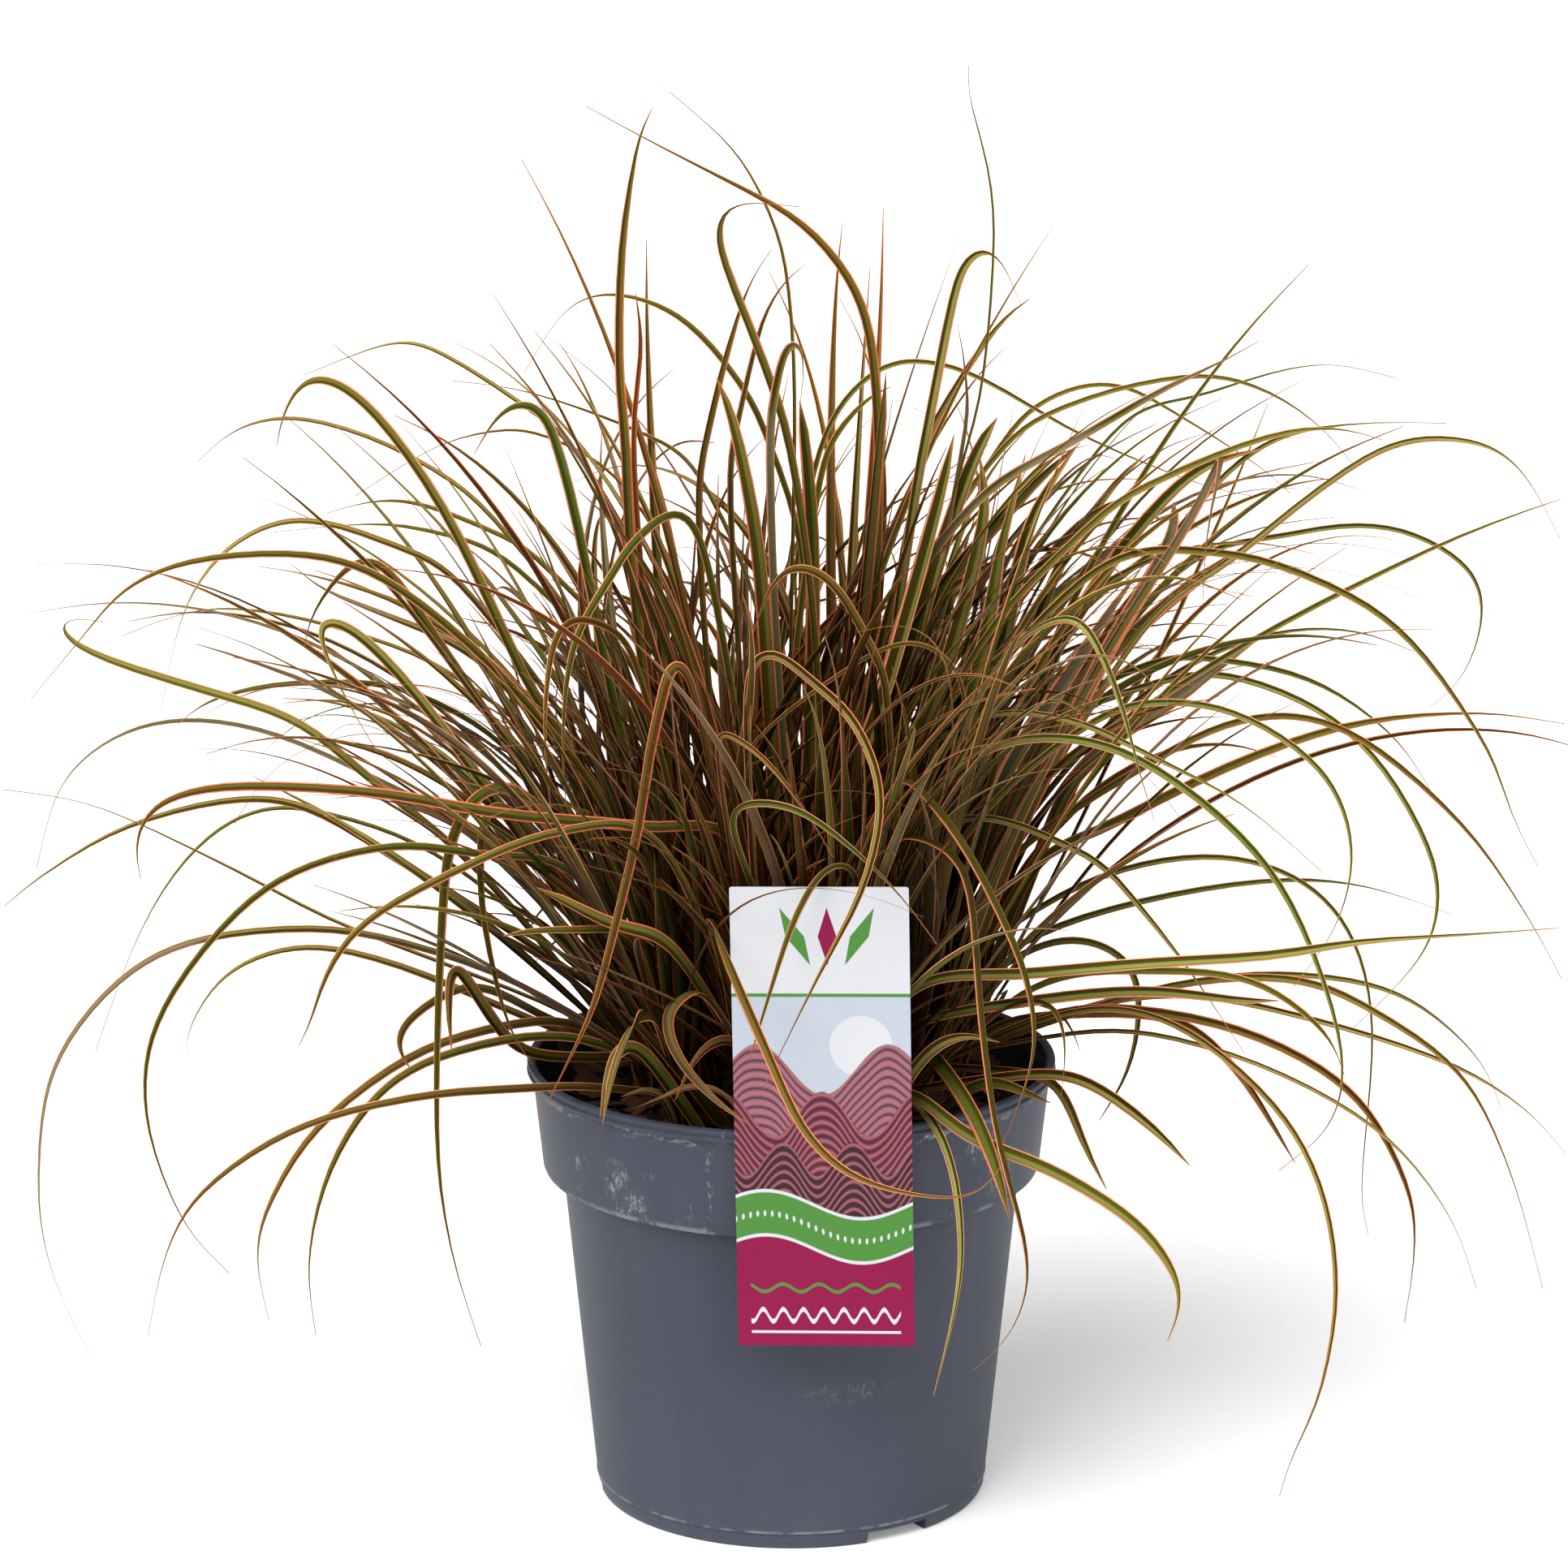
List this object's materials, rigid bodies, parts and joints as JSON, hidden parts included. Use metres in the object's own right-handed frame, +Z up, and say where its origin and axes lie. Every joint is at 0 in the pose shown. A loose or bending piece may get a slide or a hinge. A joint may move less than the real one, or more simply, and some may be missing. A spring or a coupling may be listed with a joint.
{
  "type": "potted red hook sedge",
  "caption": "Arching bronze and olive tussock of narrow keeled sedge leaves growing in a round nursery pot, with a plain patterned plant tag hooked over the rim.",
  "frame": {"origin": "on the ground, at the axis of the pot", "axes": "+Z up along the pot's axis, -Y to the front, where the plant tag hangs, +X to the right as seen from the front"},
  "size_m": [0.5624, 0.4111, 0.517],
  "materials": {
    "pot": "satin moulded polypropylene, scuffed on the collar",
    "compost": "moist peat and bark",
    "leaves_bronze": "leaf with a slight sheen",
    "leaves_copper": "leaf with a slight sheen",
    "leaves_olive": "leaf with a slight sheen",
    "leaves_rust": "leaf with a slight sheen",
    "leaves_moss": "leaf with a slight sheen",
    "leaves_fawn": "leaf with a slight sheen",
    "tag": "smooth printed card"
  },
  "bodies": {
    "root": {"pot": "pot", "compost": "compost", "tuft_01": "leaves_bronze", "tuft_02": "leaves_copper", "tuft_03": "leaves_olive", "tuft_04": "leaves_rust", "tuft_05": "leaves_moss", "tuft_06": "leaves_fawn", "tuft_07": "leaves_bronze", "tuft_08": "leaves_copper", "tuft_09": "leaves_olive", "tuft_10": "leaves_rust", "tuft_11": "leaves_moss", "tuft_12": "leaves_fawn", "tuft_13": "leaves_bronze", "tuft_14": "leaves_copper", "tuft_15": "leaves_olive", "tuft_16": "leaves_rust", "tuft_17": "leaves_moss", "tuft_18": "leaves_fawn", "tuft_19": "leaves_bronze", "tuft_20": "leaves_copper", "tuft_21": "leaves_olive", "tuft_22": "leaves_rust", "tuft_23": "leaves_moss", "tuft_24": "leaves_fawn", "plant_tag": "tag"}
  },
  "joints": []
}
